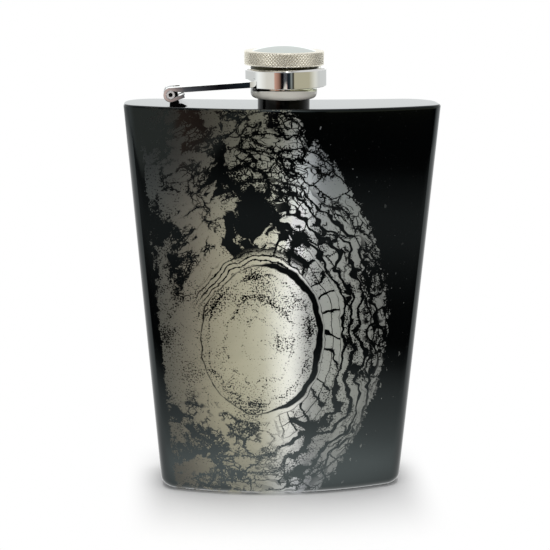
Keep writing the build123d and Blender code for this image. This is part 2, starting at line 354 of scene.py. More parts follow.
def tray_mesh():
    """The pressed base with its rounded rim."""
    heights = np.linspace(TRAY_TOP, BASE_EDGE_RADIUS, 3)
    rings = [section(h, 0) for h in heights]
    rings += rolled_edge(BASE_EDGE_RADIUS, BASE_EDGE_RADIUS, 0, -1, 14)
    rings += [shrunk(rings[-1], s, 0.0) for s in (0.985, 0.8, 0.5, 0.2)]
    rings.append([(0.0, 0.0, 0.0)])
    inner = [section(h, WALL) for h in heights]
    inner += rolled_edge(BASE_EDGE_RADIUS, BASE_EDGE_RADIUS - WALL, WALL, -1, 8)
    inner += [shrunk(inner[-1], s, WALL) for s in (0.8, 0.5, 0.2)]
    inner.append([(0.0, 0.0, WALL)])
    return stack(inner[::-1] + rings)


def plate_mesh():
    """The pressed top with its small edge radius and the hole for the neck."""
    rings = [section(PLATE_UNDERSIDE, 0), section(PLATE - TOP_EDGE_RADIUS, 0)]
    rings += rolled_edge(PLATE - TOP_EDGE_RADIUS, TOP_EDGE_RADIUS, 0, 1, 9)
    rim = np.array(rings[-1])[:, :2]
    angles = np.arctan2(rim[:, 1], rim[:, 0])
    hole = PLATE_HOLE_RADIUS * np.stack([np.cos(angles), np.sin(angles)], 1)
    for s in (0.02, 0.3, 0.6, 0.85, 1.0):
        rings.append([(x, y, PLATE) for x, y in rim * (1 - s) + hole * s])
    underside = np.array(rings[0])[:, :2]
    for s in (1.0, 0.6, 0.3):
        rings.append([(x, y, PLATE_UNDERSIDE) for x, y in underside * (1 - s) + hole * s])
    return stack(rings, joined=True)


def knurled_head_mesh():
    """The grip: rounded rims, bore and seat, with a diamond knurl cut into its wall."""
    columns = 2 * KNURL_SAMPLES * KNURL_COUNT
    low = HEAD_BOTTOM + KNURL_MARGIN
    high = HEAD_TOP - HEAD_CHAMFER
    period = 2 * KNURL_SAMPLES
    rows = int(round((high - low) * period / KNURL_PITCH_UP))
    angles = np.linspace(0, 2 * math.pi, columns, endpoint=False)
    index = np.arange(columns)

    def around(radius, height):
        """One full ring of the grip."""
        radii = np.broadcast_to(radius, angles.shape)
        return list(zip(radii * np.cos(angles), radii * np.sin(angles), np.full(columns, height)))

    lower = [(HEAD_BORE_RADIUS, CROWN_SEAT), (HEAD_BORE_RADIUS, HEAD_BOTTOM)]
    lower += [(HEAD_RADIUS - inward, HEAD_BOTTOM + up) for inward, up in LOWER_RIM]
    upper = [(HEAD_RADIUS - inward, HEAD_TOP - down) for inward, down in UPPER_RIM]
    upper += [
        (CROWN_SEAT_RADIUS + SEAT_CHAMFER, HEAD_TOP),
        (CROWN_SEAT_RADIUS, HEAD_TOP - SEAT_CHAMFER),
        (CROWN_SEAT_RADIUS, CROWN_SEAT),
    ]
    rings = [around(r, z) for r, z in lower]
    first_row = len(rings)
    for j in range(rows + 1):
        toward = [np.abs((index + way * j) % period / KNURL_SAMPLES - 1) for way in (1, -1)]
        crest = (1 - np.maximum(*toward)) / KNURL_FLAT
        cut = KNURL_DEPTH * (1 - np.clip(crest, 0, 1))
        fade = min(1.0, j / 1.5, (rows - j) / 1.5)
        rings.append(around(HEAD_RADIUS - cut * fade, low + (high - low) * j / rows))
    rings += [around(r, z) for r, z in upper]
    verts, faces = stack(rings, joined=True)
    split = []
    for face in faces:
        row, column = divmod(face[0], columns)
        j = row - first_row
        a, b, c, d = face
        # Faces that the bottom of a groove crosses are cut along it.
        if 0 <= j < rows and (column + j + 1) % period == 0:
            split += [(a, b, d), (b, c, d)]
        elif 0 <= j < rows and (column - j) % period == 0:
            split += [(a, b, c), (a, c, d)]
        else:
            split.append(face)
    return verts, split


def crown_mesh():
    """Polished domed disc set in the grip."""
    rise = CROWN_APEX - HEAD_TOP
    dome = (CROWN_RADIUS**2 + rise**2) / (2 * rise)
    span = math.degrees(math.asin(CROWN_RADIUS / dome))
    profile = [(0.0, CROWN_SEAT), (CROWN_RADIUS, CROWN_SEAT), (CROWN_RADIUS, HEAD_TOP - CROWN_EDGE_DROP)]
    profile += arc((0, CROWN_APEX - dome), dome, 90 - span * CROWN_DOME_SHARE, 90, 40)
    profile[-1] = (0.0, CROWN_APEX)
    return turned(profile, closed=False)


def sleeve_mesh():
    """Stem of the cap with its flange, the ring's groove, the boss and the inside thread."""
    outline = [
        (STEM_ROOT_RADIUS, STEM_BOTTOM), (STEM_RADIUS, STEM_BOTTOM),
        (STEM_RADIUS, GROOVE_BOTTOM), (GROOVE_RADIUS, GROOVE_BOTTOM),
        (GROOVE_RADIUS, GROOVE_TOP), (STEM_RADIUS, GROOVE_TOP),
        (STEM_RADIUS, HEAD_BOTTOM), (STEM_BOSS_RADIUS, HEAD_BOTTOM),
        (STEM_BOSS_RADIUS, STEM_TOP), (STEM_HOLLOW_RADIUS, STEM_TOP),
        (STEM_HOLLOW_RADIUS, CEILING + CEILING_THICKNESS), (0.0, CEILING + CEILING_THICKNESS),
        (0.0, CEILING), (STEM_ROOT_RADIUS, CEILING),
    ]
    rim = arc(
        (STEM_RADIUS - STEM_EDGE_RADIUS, STEM_BOTTOM + STEM_EDGE_RADIUS), STEM_EDGE_RADIUS, -90, 0, 12
    )
    soft = softened(outline, EDGE, keep=(1, 11, 12))
    corner = soft.index((STEM_RADIUS, STEM_BOTTOM))
    soft[corner:corner + 1] = rim
    start = soft.index((0.0, CEILING))
    ordered = soft[start:] + soft[:start]
    thread = ridge(STEM_ROOT_RADIUS, STEM_CREST_RADIUS, STEM_THREAD_BOTTOM, STEM_THREAD_TOP)
    return merged(turned(ordered, closed=False), thread)


def ring_mesh():
    """Swivel collar round the stem, kept on it by the rib inside, tilted with the arm."""
    outline = [
        (RING_BORE_RADIUS, RING_BOTTOM), (RING_RADIUS, RING_BOTTOM),
        (RING_RADIUS, RING_TOP - RING_BEVEL), (RING_RADIUS - RING_BEVEL, RING_TOP),
        (RING_BORE_RADIUS, RING_TOP), (RING_BORE_RADIUS, RING_RIB_TOP),
        (RING_RIB_RADIUS, RING_RIB_TOP), (RING_RIB_RADIUS, RING_RIB_BOTTOM),
        (RING_BORE_RADIUS, RING_RIB_BOTTOM),
    ]
    rib_middle = (RING_RIB_BOTTOM + RING_RIB_TOP) / 2
    tilt = Matrix.Rotation(-RING_TILT, 4, "Y")
    place = Matrix.Translation((RING_SHIFT, 0, rib_middle + PLATE)) @ tilt
    place = place @ Matrix.Translation((0, 0, -rib_middle))
    return moved(turned(softened(outline, EDGE)), place)


def strip(stations, low, high, end_reach=None):
    """A flat bar swept along (x, z, normal x, normal z, half thickness) stations, edges rounded."""
    rings = []
    count = len(stations)
    for i, (x, z, nx, nz, half) in enumerate(stations):
        outline = [(low, -half), (high, -half), (high, half), (low, half)]
        ring = []
        for y, n in softened(outline, ARM_EDGE):
            along = x
            if end_reach:
                along = stations[0][0] + (end_reach(y) - stations[0][0]) * i / (count - 1)
            ring.append((along + nx * n, y, z + nz * n))
        rings.append(ring)
    verts, faces = stack(rings)
    size = len(rings[0])
    last = len(verts)
    faces.append(tuple(range(size)))
    faces.append(tuple(range(last - 1, last - size - 1, -1)))
    return verts, faces


def arm_mesh():
    """Two rolled knuckles with their tails, and the bar that thickens towards the ring."""
    thickness = KNUCKLE_RADIUS - PIN_RADIUS - HINGE_CLEARANCE
    middle = KNUCKLE_RADIUS - thickness / 2
    half = thickness / 2
    ring_wall = RING_SHIFT - RING_RADIUS - PIVOT_X
    top_slope = ARM_RISE_AT_RING / ring_wall
    bottom_at_ring = KNUCKLE_RADIUS + ARM_RISE_AT_RING - ARM_THICKNESS_AT_RING
    reaches = (PIN_RADIUS, ARM_BELLY_REACH, ring_wall)
    undersides = (PIN_RADIUS + HINGE_CLEARANCE, ARM_BELLY_HEIGHT, bottom_at_ring)

    def bar(x):
        """Station of the straight bar at a distance from the pivot."""
        upper = KNUCKLE_RADIUS + top_slope * x
        lower = float(np.interp(x, reaches, undersides))
        return (x, (upper + lower) / 2, 0.0, 1.0, (upper - lower) / 2)

    end = math.radians(CURL_END_ANGLE)
    tail_turn = math.radians(CURL_END_ANGLE + 90)
    tail = []
    for s in np.linspace(CURL_TAIL_LENGTH, 0.3, 5):
        x = middle * math.cos(end) + s * math.cos(tail_turn)
        z = middle * math.sin(end) + s * math.sin(tail_turn)
        tail.append((x, z, math.sin(tail_turn), -math.cos(tail_turn), half))
    curl = []
    for a in np.radians(np.linspace(CURL_END_ANGLE, -270, 44)):
        curl.append((middle * math.cos(a), middle * math.sin(a), math.cos(a), math.sin(a), half))
    lobe = tail + curl + [bar(x) for x in np.linspace(0.3, ARM_NOTCH_REACH, 6)]
    sides = [strip(lobe, side * HALF_NOTCH, side * ARM_WIDTH / 2) for side in (-1, 1)]

    def ring_face(y):
        """Where the bar meets the outside of the ring."""
        return RING_SHIFT - PIVOT_X - math.sqrt(RING_RADIUS**2 - y**2)

    stations = [bar(x) for x in np.linspace(ARM_NOTCH_REACH, ring_wall, 12)]
    body = strip(stations, -ARM_WIDTH / 2, ARM_WIDTH / 2, ring_face)
    pivot = Matrix.Translation((PIVOT_X, 0, PLATE + PIVOT_HEIGHT))
    return moved(merged(body, *sides), pivot)


def pin_mesh():
    """Semi-tubular rivet: a blind recess and a flared end on each side."""
    half = ARM_WIDTH / 2 + HINGE_CLEARANCE
    end = half + PIN_FLARE_THICKNESS
    near = [
        (0.0, PIN_BORE_DEPTH - end), (PIN_BORE_RADIUS, PIN_BORE_DEPTH - end), (PIN_BORE_RADIUS, -end),
        (PIN_FLARE_RADIUS, -end), (PIN_FLARE_RADIUS, -half), (PIN_RADIUS, -half),
    ]
    outline = near + [(r, -z) for r, z in reversed(near)]
    lie_down = Matrix.Rotation(math.radians(90), 4, "X")
    place = Matrix.Translation((PIVOT_X, 0, PLATE + PIVOT_HEIGHT)) @ lie_down
    rolled = softened(outline, PIN_FLARE_THICKNESS, keep=(0, 11))
    return moved(turned(rolled, closed=False, steps=64), place)


def raised(part):
    """A part drawn from the plate up, lifted onto the plate."""
    return moved(part, Matrix.Translation((0, 0, PLATE)))


# ---- shader maths


def operator(operation, swapped=False):
    """A method that joins two values by one math node."""
    def method(self, other):
        pair = (other, self) if swapped else (self, other)
        return self.graph.math(operation, *pair)
    return method


class Field:
    """A shader value that takes the ordinary operators."""

    def __init__(self, graph, socket):
        self.graph = graph
        self.socket = socket

    __add__ = operator("ADD")
    __radd__ = operator("ADD", swapped=True)
    __sub__ = operator("SUBTRACT")
    __rsub__ = operator("SUBTRACT", swapped=True)
    __mul__ = operator("MULTIPLY")
    __rmul__ = operator("MULTIPLY", swapped=True)
    __truediv__ = operator("DIVIDE")


class Graph:
    """A node tree with short ways to add nodes."""

    def __init__(self, tree):
        self.tree = tree
        tree.nodes.clear()

    def node(self, kind, **settings):
        """Adds a shader node by the last part of its type's name, and sets its properties."""
        made = self.tree.nodes.new("ShaderNode" + kind)
        for key, value in settings.items():
            setattr(made, key, value)
        return made

    def plug(self, socket, value):
        """Links a field or socket, or sets a number or an opaque colour."""
        if isinstance(value, Field):
            self.tree.links.new(value.socket, socket)
        elif isinstance(value, bpy.types.NodeSocket):
            self.tree.links.new(value, socket)
        else:
            socket.default_value = (*value, 1.0) if isinstance(value, tuple) else value

    def math(self, operation, a, b=0.0):
        """One math node."""
        made = self.node("Math", operation=operation)
        for socket, value in zip(made.inputs, (a, b)):
            self.plug(socket, value)
        return Field(self, made.outputs[0])

    def ramp(self, value, stops, mode="LINEAR"):
        """A colour from a value, through (position, colour) stops."""
        made = self.node("ValToRGB")
        made.color_ramp.interpolation = mode
        elements = made.color_ramp.elements
        while len(elements) < len(stops):
            elements.new(0.5)
        for element, (position, colour) in zip(elements, stops):
            element.position = position
            element.color = (*colour, 1.0)
        self.plug(made.inputs[0], value)
        return made.outputs[0]

    def step(self, value, start, end):
        """0 below start and 1 above end, smooth between. Start may be the larger one."""
        made = self.node("MapRange", interpolation_type="SMOOTHSTEP")
        for socket, entry in zip(made.inputs, (value, start, end, 0.0, 1.0)):
            self.plug(socket, entry)
        return Field(self, made.outputs[0])

    def between(self, value, start, full, last, end):
        """1 from full to last, fading to 0 at start and at end."""
        return self.step(value, start, full) * self.step(value, end, last)

    def wave(self, value):
        """A value folded back and forth between 0 and a half."""
        return self.math("PINGPONG", value, 0.5)

    def larger(self, a, b):
        """The larger of two fields."""
        return self.math("MAXIMUM", a, b)

    def smaller(self, a, b):
        """The smaller of two fields."""
        return self.math("MINIMUM", a, b)

    def length(self, a, b):
        """Length of the vector with sides a and b."""
        return self.math("SQRT", a * a + b * b)

    def vector(self, x, y, z):
        """Three fields as one vector."""
        made = self.node("CombineXYZ")
        for socket, value in zip(made.inputs, (x, y, z)):
            self.plug(socket, value)
        return made.outputs[0]

    def split(self, socket):
        """The three fields of a vector."""
        made = self.node("SeparateXYZ")
        self.plug(made.inputs[0], socket)
        return [Field(self, out) for out in made.outputs]

    def noise(self, where, scale, detail=2.0, roughness=0.5):
        """Smooth random field from 0 to 1."""
        made = self.node("TexNoise")
        self.plug(made.inputs["Vector"], where)
        made.inputs["Scale"].default_value = scale
        made.inputs["Detail"].default_value = detail
        made.inputs["Roughness"].default_value = roughness
        return Field(self, made.outputs[0])

    def cells(self, where, scale):
        """Distance to the nearest border of a cell pattern."""
        made = self.node("TexVoronoi", feature="DISTANCE_TO_EDGE")
        self.plug(made.inputs["Vector"], where)
        made.inputs["Scale"].default_value = scale
        return Field(self, made.outputs["Distance"])

    def mix(self, share, a, b):
        """Colour a where share is 0 and b where it is 1, each a colour or a socket."""
        made = self.node("Mix", data_type="RGBA")
        self.plug(made.inputs["Factor"], share)
        self.plug(made.inputs["A"], a)
        self.plug(made.inputs["B"], b)
        return made.outputs[2]

    def scaled(self, vector, share):
        """A vector or colour times a number or field."""
        made = self.node("VectorMath", operation="SCALE")
        self.plug(made.inputs[0], vector)
        self.plug(made.inputs["Scale"], share)
        return made.outputs[0]

    def shine(self, kind, tint, strength):
        """A background or emission shader."""
        made = self.node(kind)
        self.plug(made.inputs["Color"], tint)
        made.inputs["Strength"].default_value = strength
        return made.outputs[0]

    def blend(self, share, first, second):
        """One shader where share is 0 and another where it is 1."""
        made = self.node("MixShader")
        for socket, value in zip(made.inputs, (share, first, second)):
            self.plug(socket, value)
        return made.outputs[0]

    def end(self, kind, shader):
        """Sends a shader to the tree's output."""
        self.plug(self.node(kind).inputs[0], shader)


def colour(red, green, blue):
    """Linear colour from display values of 0 to 255."""
    def linear(value):
        share = value / 255
        return share / 12.92 if share <= 0.04045 else ((share + 0.055) / 1.055) ** 2.4
    return (linear(red), linear(green), linear(blue))


# ---- surroundings seen in reflections

# What stands round the flask, in display values
PAPER = (244, 247, 247)
PLASTER = (203, 201, 194)
BRICK = (190, 150, 134)
DEEP_BRICK = (140, 106, 92)
DARK = (12, 11, 14)
SLATE = (70, 72, 77)
DUSK = (30, 38, 44)
GREY = (121, 127, 126)
UMBER = (50, 49, 44)
SAND = (168, 164, 143)
BLUSH = (230, 205, 198)
NAVY = (20, 26, 40)
OLIVE = (82, 80, 53)

# Its place by azimuth in degrees, 0 towards the camera and + to the right, as a mirror near the
# horizon shows it
HORIZON = [
    (-180, PAPER), (-95, PAPER), (-60, PLASTER), (-38, PLASTER), (-36, BRICK), (-24, DEEP_BRICK),
    (-17, DARK), (-11, DARK), (-9, SLATE), (-1, SLATE), (0.8, DARK), (2, DARK), (3, DUSK), (8, DUSK),
    (10, GREY), (13, GREY), (15, UMBER), (18, UMBER), (20, SAND), (65, SAND), (110, PAPER), (180, PAPER),
]
# The same a little below the horizon, as the arm and the cap's flange show it
LOW_HORIZON = [
    (-180, PAPER), (-95, PAPER), (-60, PLASTER), (-4, PLASTER), (-1.6, BLUSH), (-0.7, BLUSH),
    (-0.3, DEEP_BRICK), (0, SLATE), (0.5, SLATE), (0.7, DARK), (2, DARK), (5, NAVY), (8, OLIVE),
    (70, OLIVE), (105, PAPER), (180, PAPER),
]
LOW_HORIZON_TOP = -5.78
# Upper room, where the soft light hangs almost over the camera
OVERHEAD = [
    (-180, 0.66), (-90, 0.62), (-48, 0.1), (-36, 0.16), (-26, 0.34), (-14, 0.5), (-7, 0.8), (-1, 1.75),
    (4, 2.3), (9, 1.9), (15, 0.8), (24, 0.5), (34, 0.3), (60, 0.25), (90, 0.62), (180, 0.66),
]
# Colour ramps stay under 1, so brighter tables are scaled by this and back again
RAMP_SCALE = 0.25
# Behind the flask the room is brighter above the horizon and darker below it
BACKLIGHT = 0.22
BACKSHADE = 0.38
HORIZON_TOP = 9.0
HORIZON_BOTTOM = -6.5
# The lower room starts this many degrees further down on the left, as the ring leans that way
LEAN = 3.5
LEAN_SIDE = (-3.6, -39.6)
TABLE_SHADE = (0.006, 0.007, 0.007)
TABLE_BEHIND = (0.85, 0.87, 0.88)
WHITE = (1.0, 1.0, 1.0)
ROOM_STRENGTH = 1.12
DOME_STRENGTH = 0.54
LIGHT_HEIGHT = 0.6
LIGHT_DEPTH = 0.17
LIGHT_WIDTH = 0.34
LIGHT_BACK = 0.035
LIGHT_POWER = 2.4
PAPER_FADE = (0.08, 0.17)
SIDE_FADE = (0.036, 0.05)

# Floor as a mirror sees it: distance from the flask in metres, and brightness
FLOOR_BANDS = [
    (0.0, 2.9), (0.05, 2.5), (0.075, 1.5), (0.1, 1.0), (0.125, 0.7), (0.16, 0.16), (0.19, 0.02),
    (0.24, 0.03), (0.28, 0.07), (0.33, 0.14), (0.4, 0.26), (0.47, 0.26), (0.57, 0.13), (0.65, 0.05),
]
FLOOR_BEHIND = [(0.0, 1.2), (0.2, 1.1), (0.65, 1.1)]
FLOOR_RADIUS = 0.65


def azimuth_place(azimuth):
    """Place on a ramp, 0 to 1, of an azimuth in degrees."""
    return (azimuth + 180) / 360


def grey_stops(table, low, high):
    """Dimmed colour stops from (place, brightness) pairs."""
    return [((place - low) / (high - low), (value * RAMP_SCALE,) * 3) for place, value in table]


def wall_stops(table):
    """Colour stops from (azimuth, display colour) pairs."""
    return [(azimuth_place(azimuth), colour(*shown)) for azimuth, shown in table]


def room(graph, direction):
    """Colour of the room in a direction, for reflections."""
    x, y, z = graph.split(direction)
    share = graph.math("ARCTAN2", x, y * -1.0) / (2 * math.pi) + 0.5
    elevation = graph.math("ARCSINE", z) * (180 / math.pi)
    above = graph.step(elevation, HORIZON_TOP - 2, HORIZON_TOP + 6)
    left = graph.step(share, *[azimuth_place(azimuth) for azimuth in LEAN_SIDE])
    leaned = elevation + left * LEAN
    below = graph.step(leaned, HORIZON_BOTTOM + 0.25, HORIZON_BOTTOM - 0.25)
    lower = graph.step(leaned, LOW_HORIZON_TOP + 0.1, LOW_HORIZON_TOP - 0.1)
    behind = graph.step(y, -0.1, 0.3)
    backlight = behind * (graph.step(elevation, -0.5, 0.5) * (BACKLIGHT + BACKSHADE) - BACKSHADE)
    walls = graph.mix(
        lower, graph.ramp(share, wall_stops(HORIZON)), graph.ramp(share, wall_stops(LOW_HORIZON))
    )
    ceiling = graph.ramp(share, grey_stops(OVERHEAD, -180, 180))
    lit = graph.scaled(walls, 1.0 + backlight)
    upper = graph.mix(above, lit, graph.scaled(ceiling, 1 / RAMP_SCALE))
    return graph.mix(below, upper, graph.mix(behind, TABLE_SHADE, TABLE_BEHIND))


def build_world():
    """White to the camera, an even dome for soft light, and the room in reflections."""
    world = bpy.data.worlds.new("studio")
    bpy.context.scene.world = world
    world.use_nodes = True
    world.cycles.sampling_method = "NONE"
    graph = Graph(world.node_tree)
    kind = "Background"
    where = graph.node("TexCoord")
    path = graph.node("LightPath")
    seen = graph.shine(kind, room(graph, where.outputs["Generated"]), ROOM_STRENGTH)
    dome = graph.shine(kind, WHITE, DOME_STRENGTH)
    both = graph.blend(path.outputs["Is Glossy Ray"], dome, seen)
    outer = graph.blend(path.outputs["Is Camera Ray"], both, graph.shine(kind, WHITE, 1.0))
    graph.end("OutputWorld", outer)


def new_material(name):
    """A material with an empty node tree, its graph and the object's own coordinates."""
    material = bpy.data.materials.new(name)
    material.use_nodes = True
    graph = Graph(material.node_tree)
    place = graph.node("TexCoord")
    return material, graph, place.outputs["Object"]


def build_light():
    """Wide soft light over the flask, unseen in reflections, for the shadow at its foot."""
    lamp = bpy.data.lights.new("softbox", "AREA")
    lamp.shape = "RECTANGLE"
    lamp.size = LIGHT_WIDTH
    lamp.size_y = LIGHT_DEPTH
    lamp.energy = LIGHT_POWER
    softbox = placed("softbox", lamp)
    softbox.location = (0.0, LIGHT_BACK, LIGHT_HEIGHT)
    softbox.visible_glossy = False
    softbox.visible_camera = False


def build_floor():
    """Round white floor that takes a soft shadow, with its bands seen in reflections."""
    material, graph, where = new_material("floor")
    material.cycles.emission_sampling = "NONE"
    x, y, _ = graph.split(where)
    kind = "Emission"
    path = graph.node("LightPath")
    paper = graph.node("BsdfDiffuse")
    grain = graph.noise(where, 900.0, 3.0)
    graph.plug(paper.inputs["Color"], graph.mix(grain, (0.92, 0.92, 0.92), (0.94, 0.94, 0.94)))
    away = graph.length(x, y)
    share = away / FLOOR_RADIUS
    # Bands only lie in front: the back and the ends of the flask see plain paper.
    front = graph.step(y, 0.0, -0.03)
    bands = graph.ramp(share, grey_stops(FLOOR_BANDS, 0.0, FLOOR_RADIUS))
    plain = graph.ramp(share, grey_stops(FLOOR_BEHIND, 0.0, FLOOR_RADIUS))
    glow = graph.shine(kind, graph.mix(front, plain, bands), 1 / RAMP_SCALE)
    # Away from the flask's foot the paper is lit evenly white.
    beside = graph.step(graph.math("ABSOLUTE", x), *SIDE_FADE)
    even = graph.larger(graph.step(away, *PAPER_FADE), beside)
    sweep = graph.blend(even, paper.outputs[0], graph.shine(kind, WHITE, 1.0))
    graph.end("OutputMaterial", graph.blend(path.outputs["Is Glossy Ray"], sweep, glow))
    disc = turned([(radius * 1000, 0.0) for radius in (0.0, 0.1, 0.3, FLOOR_RADIUS)], False, 96)
    placed("floor", mesh_of("floor", *disc, material))


# ---- finishes


def principled(graph, **inputs):
    """A principled shader with its inputs set or linked by name."""
    made = graph.node("BsdfPrincipled")
    for name, value in inputs.items():
        graph.plug(made.inputs[name.replace("_", " ")], value)
    return made.outputs[0]


def bumped(graph, height, strength, distance):
    """A normal from a height field, for grain too fine to model."""
    made = graph.node("Bump")
    made.inputs["Strength"].default_value = strength
    made.inputs["Distance"].default_value = distance
    graph.plug(made.inputs["Height"], height)
    return made.outputs[0]


# Etched motif on the front, an agate slice: a plain core with bands, blocks and cracks round it.
# Reaches are in units of the core's own size, directions in radians from the right.
CORE_X = -7.7
CORE_Z = 50.6
CORE_HALF_WIDTH = 17.4
CORE_HALF_HEIGHT = 23.3
EDGE_PEAK_X = 32.0
EDGE_PEAK_Z = 55.0
EDGE_BOW = 0.0072
LEFT_MARGIN = 4.6
EDGE_RAGGEDNESS = 11.0
RIM_WIDTHS = (0.008, 0.093)
CROWN_DIRECTION = 1.75
CROWN_BAND_RATE = 15.0
BLOCKS_START = 1.12
BLOCKS_ZONE = (1.11, 1.13, 1.44, 1.46)
BLOCK_RATE = 4.6
BLOCK_RAIL_RATE = 6.1
BAND_RATE = 5.2
PLATE_RATE = 4.6
PLATE_RATE_OUT = 4.4
SPLINTER_RATE = 2.9
GROWTH_RATE = 3.4


class Motif:
    """Fields that the parts of the motif share, at a place on the flask."""

    def __init__(self, graph, where):
        self.x, self.y, self.z = [value * 1000 for value in graph.split(where)]
        x, z = self.x, self.z
        self.plane = graph.vector(x, z, 0.0)
        self.drift_x = graph.noise(self.plane, 0.06, 3.0, 0.55) - 0.5
        self.drift_z = graph.noise(graph.vector(x + 80, z, 0.0), 0.06, 3.0, 0.55) - 0.5
        # Distance from the core's middle in units of its size, and the direction from it
        across = (x + self.drift_x * 6.0 - CORE_X) / CORE_HALF_WIDTH
        up = (z + self.drift_z * 6.0 - CORE_Z) / CORE_HALF_HEIGHT
        self.spread = graph.length(across, up)
        self.turn = graph.math("ARCTAN2", up, across)
        self.rightward = graph.math("COSINE", self.turn - 0.1)
        self.upward = graph.math("SINE", self.turn)
        self.crownward = graph.math("COSINE", self.turn - CROWN_DIRECTION)
        self.ragged = graph.noise(self.plane, 0.5, 5.0, 0.75) - 0.5
        self.wobble = graph.noise(self.plane, 0.22, 3.0, 0.6) - 0.5
        self.patch = graph.noise(graph.vector(x, z, 3.0), 0.10, 3.0, 0.6)
        self.gap = graph.noise(self.plane, 0.3, 3.0)
        self.band_side = graph.step(self.rightward, -0.25, 0.3)
        self.band_wave = graph.wave((self.spread + self.drift_x * 0.9) * BAND_RATE)
        self.right_limit = EDGE_PEAK_X - EDGE_BOW * (z - EDGE_PEAK_Z) * (z - EDGE_PEAK_Z)
        self.left_limit = LEFT_MARGIN - BASE_WIDTH / 2 - (TOP_WIDTH - BASE_WIDTH) / (2 * PLATE) * z
        self.on_front = graph.step(self.y, 2.0, 1.0) * graph.step(z, PLATE - 0.1, PLATE - 0.25)


def motif_reach(graph, at):
    """1 inside the ragged outline of the motif."""
    inside_right = graph.step(at.right_limit - at.x + at.ragged * EDGE_RAGGEDNESS, -0.1, 0.1)
    inside_left = graph.step(at.x - at.left_limit + at.ragged * 5.0, -0.1, 0.1)
    return graph.smaller(graph.smaller(inside_right, inside_left), at.on_front)


def motif_rim(graph, at):
    """Dark rim round the core, wide on the right, with fine bands close over its top."""
    thin, wide = RIM_WIDTHS
    width = thin + (wide - thin) * graph.step(at.rightward, -0.1, 0.75) + at.wobble * 0.08
    edge = at.spread + at.wobble * 0.05
    rim = graph.step(edge, 0.985, 1.0) * graph.step(edge - 1.0 - width, 0.012, -0.012)
    crown_wave = graph.wave((at.spread + at.wobble * 0.12) * CROWN_BAND_RATE)
    crown = graph.step(crown_wave + at.ragged * 0.5, 0.20, 0.10) * graph.step(at.crownward, 0.45, 0.75)
    return graph.larger(rim, crown * graph.between(at.spread, 1.0, 1.03, 1.2, 1.3))


def motif_blocks(graph, at):
    """Zone and phase of the row of blocks outside the rim on the right, and the blocks' lines."""
    zone = graph.between(at.spread, *BLOCKS_ZONE) * graph.step(at.rightward, 0.1, 0.3)
    phase = graph.wave(at.turn * BLOCK_RATE + at.drift_z * 2.0 + at.drift_x)
    rails = graph.wave((at.spread + at.wobble * 0.04 - BLOCKS_START) * BLOCK_RAIL_RATE)
    lines = graph.larger(graph.step(phase, 0.075, 0.05), graph.step(rails, 0.06, 0.03))
    return zone, phase, zone * graph.step(lines + at.ragged * 0.5, 0.35, 0.5)


def motif_bands(graph, at):
    """Bands that follow the core further out, broken up by noise."""
    line = graph.step(at.band_wave - at.gap * 0.2, 0.075, 0.035)
    return line * at.band_side * graph.between(at.spread, 1.42, 1.46, 2.1, 2.3)


def motif_cracks(graph, at, banded):
    """Cracked ground, plates laid in arcs round the core: its share, plate borders and cracks."""
    place = graph.vector(
        graph.math("COSINE", at.turn) * PLATE_RATE + at.drift_x * 3.0,
        at.upward * PLATE_RATE + at.drift_z * 3.0,
        at.spread * PLATE_RATE_OUT,
    )
    plates = graph.cells(place, 1.0)
    splinters = graph.cells(place, SPLINTER_RATE)
    upper = graph.step(at.spread, 1.46, 1.52) * graph.step(at.upward + at.rightward * 0.4, -0.2, 0.25)
    lower = graph.step(at.spread, 1.12, 1.2) * graph.step(at.upward, -0.45, -0.65)
    ground = graph.larger(upper, lower) * graph.step(at.patch + at.rightward * 0.12, 0.36, 0.42)
    ground = ground * (1.0 - banded * 0.8)
    fine = graph.step(splinters, 0.10, 0.05) * graph.step(at.patch, 0.46, 0.52)
    return ground, plates, ground * graph.larger(graph.step(plates, 0.05, 0.025), fine)


def motif_veins(graph, at):
    """How near the coating is to staying in long drifts, above the core and to the upper left."""
    place = graph.vector(at.x + at.drift_x * 22, (at.z + at.drift_z * 22) * 0.62, 17.0)
    above = graph.step(at.crownward, 0.86, 0.99) * graph.step(at.spread, 2.1, 1.5)
    upper_left = graph.step(at.z - at.x * 0.6, 78.0, 120.0)
    return graph.noise(place, 0.085, 4.0, 0.62) + above * 0.16 + upper_left * 0.035


